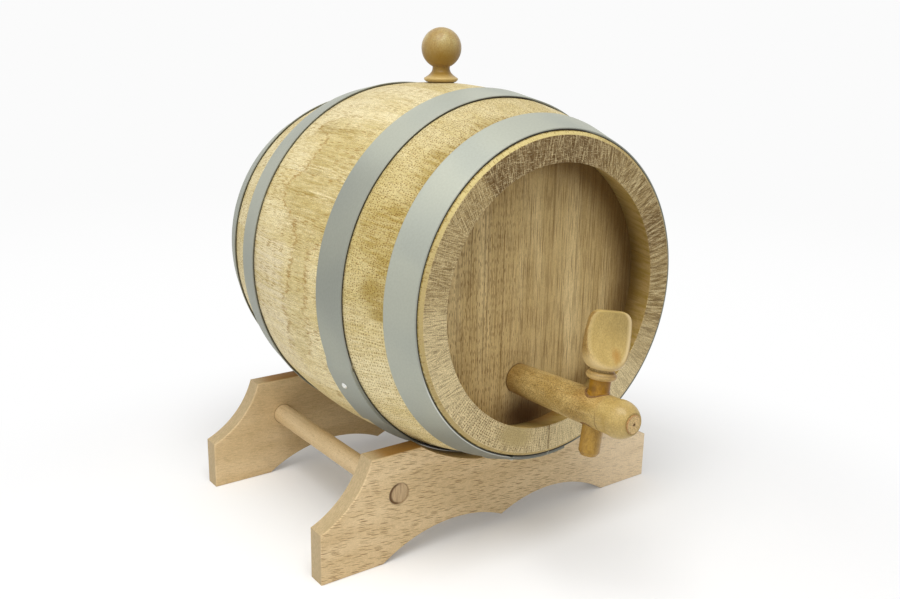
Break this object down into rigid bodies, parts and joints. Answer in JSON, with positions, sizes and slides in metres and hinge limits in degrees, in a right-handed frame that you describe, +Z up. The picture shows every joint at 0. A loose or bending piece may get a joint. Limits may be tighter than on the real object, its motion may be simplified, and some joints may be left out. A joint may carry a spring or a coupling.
{
  "type": "oak cask liquor dispenser",
  "caption": "Small oak cask lying in a beech cradle stand, bound with steel hoops, with a ball-topped bung above and a turned wooden tap in the front head.",
  "frame": {"origin": "on the floor, midway between the ends of the whole piece, on the stand's middle line", "axes": "+Z up, -Y towards the tap side, +X to the right seen from the tap side"},
  "size_m": [0.264, 0.3074, 0.3108],
  "materials": {
    "oak_stave": "planed oak, waxed, with darker water stains",
    "oak_head": "planed oak, open dark pores",
    "beech_stand": "sanded beech with short flecks",
    "turned_beech": "turned and lightly polished",
    "beech_dowel": "plain dowel",
    "hoop_steel": "dull galvanised strip",
    "rivet_steel": "bright rivet heads",
    "cork": "fine cork, cut flush"
  },
  "bodies": {
    "stand": {"front_cradle": "beech_stand", "rear_cradle": "beech_stand", "left_stretcher": "beech_stand", "right_stretcher": "beech_stand"},
    "cask": {"stave_01": "oak_stave", "stave_02": "oak_stave", "stave_03": "oak_stave", "stave_04": "oak_stave", "stave_05": "oak_stave", "stave_06": "oak_stave", "stave_07": "oak_stave", "stave_08": "oak_stave", "stave_09": "oak_stave", "stave_10": "oak_stave", "stave_11": "oak_stave", "stave_12": "oak_stave", "stave_13": "oak_stave", "stave_14": "oak_stave", "stave_15": "oak_stave", "stave_16": "oak_stave", "front_head_left": "oak_head", "front_head_middle": "oak_head", "front_head_right": "oak_head", "rear_head_left": "oak_head", "rear_head_middle": "oak_head", "rear_head_right": "oak_head", "front_head_pins": "beech_dowel", "rear_head_pins": "beech_dowel", "front_head_hoop": "hoop_steel", "front_bilge_hoop": "hoop_steel", "rear_bilge_hoop": "hoop_steel", "rear_head_hoop": "hoop_steel", "hoop_rivets": "rivet_steel"},
    "bung": {"bung": "turned_beech"},
    "tap": {"tap_body": "turned_beech", "tap_cork_sleeve": "cork", "tap_end_plug": "turned_beech"},
    "tap_key": {"tap_key": "turned_beech"}
  },
  "joints": [
    {"name": "cask_lift", "type": "slide", "parent": "stand", "child": "cask", "axis": [0, 0, 1], "range_m": [0, 0.12]},
    {"name": "bung_pull", "type": "slide", "parent": "cask", "child": "bung", "axis": [0, 0, 1], "range_m": [0, 0.06]},
    {"name": "tap_pull", "type": "slide", "parent": "cask", "child": "tap", "axis": [0, -0.9997, 0.0262], "range_m": [0, 0.05]},
    {"name": "key_turn", "type": "hinge", "parent": "tap", "child": "tap_key", "pos_m": [-0.0081, -0.12523, 0.10946], "axis": [0.1633, 0.0258, 0.9862], "continuous": true}
  ]
}
